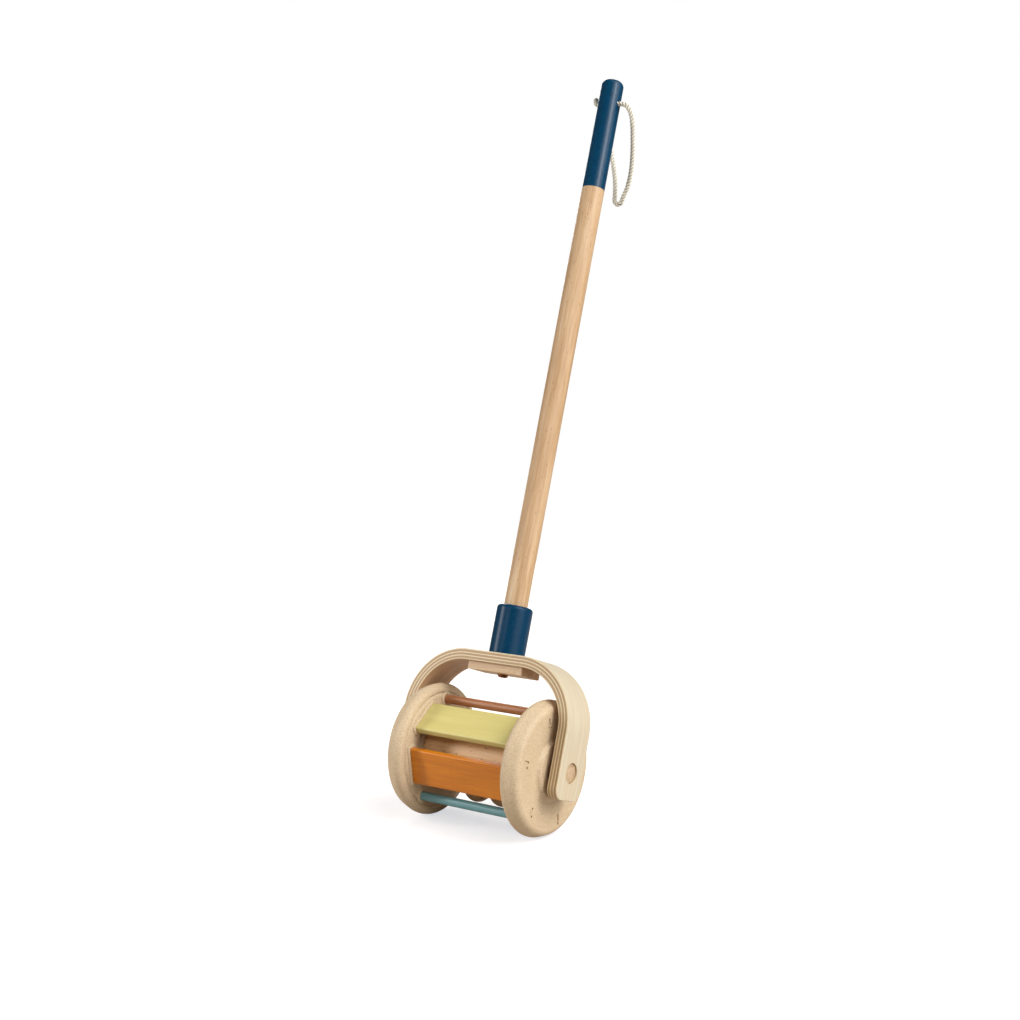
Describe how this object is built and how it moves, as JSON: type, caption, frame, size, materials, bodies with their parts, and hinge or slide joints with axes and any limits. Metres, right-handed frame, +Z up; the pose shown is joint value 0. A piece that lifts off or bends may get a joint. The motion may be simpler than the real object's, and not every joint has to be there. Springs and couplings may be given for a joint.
{
  "type": "push roller toy",
  "caption": "Wooden push roller: slatted drum between two moulded discs, turning on an axle in a bent plywood yoke below a long pole with a rope loop.",
  "frame": {"origin": "on the floor midway between the two discs, straight below the axle", "axes": "+X along the axle, +Z up, pole leans back towards +Y by 18.65 degrees; the front, the way it is pushed, is -Y"},
  "size_m": [0.1484, 0.239, 0.5676],
  "materials": {
    "wood_composite": "moulded wood composite, matte, fine speckle",
    "rubberwood_core": "turned rubberwood, clear lacquer",
    "rubberwood": "turned rubberwood, clear satin lacquer",
    "bent_plywood": "bent plywood, pale face veneer, satin lacquer",
    "washer_wood": "dark wooden spacer",
    "yellow_stain": "opaque pale yellow stain, satin",
    "orange_stain": "translucent orange stain over grain, satin",
    "terracotta_stain": "terracotta stain, satin",
    "teal_stain": "pale teal stain, satin",
    "blue_paint": "dark blue gloss paint on wood",
    "bronzed_steel": "bronzed steel bolt",
    "brass": "plain brass",
    "cotton_rope": "twisted cotton rope"
  },
  "bodies": {
    "handle": {"pole": "rubberwood", "collar": "blue_paint", "yoke": "bent_plywood", "clamp_block": "rubberwood", "pole_bolt": "bronzed_steel", "insert_nut": "brass", "axle": "rubberwood", "right_washer": "washer_wood", "left_washer": "washer_wood", "rope_loop": "cotton_rope"},
    "drum": {"right_disc": "wood_composite", "left_disc": "wood_composite", "core": "rubberwood_core", "yellow_slat": "yellow_stain", "orange_slat": "orange_stain", "blue_slat": "blue_paint", "terracotta_dowel": "terracotta_stain", "teal_dowel": "teal_stain", "plain_dowel": "rubberwood", "bead_rod": "rubberwood"},
    "bead_1": {"bead_1": "rubberwood"},
    "bead_2": {"bead_2": "rubberwood"},
    "bead_3": {"bead_3": "rubberwood"}
  },
  "joints": [
    {"name": "drum_spin", "type": "hinge", "parent": "handle", "child": "drum", "pos_m": [0, 0, 0.05], "axis": [1, 0, 0], "continuous": true},
    {"name": "bead_1_slide", "type": "slide", "parent": "drum", "child": "bead_1", "axis": [1, 0, 0], "range_m": [-0.0118, 0.0012]},
    {"name": "bead_2_slide", "type": "slide", "parent": "drum", "child": "bead_2", "axis": [1, 0, 0], "range_m": [-0.0012, 0.0012]},
    {"name": "bead_3_slide", "type": "slide", "parent": "drum", "child": "bead_3", "axis": [1, 0, 0], "range_m": [-0.0012, 0.0058]}
  ]
}
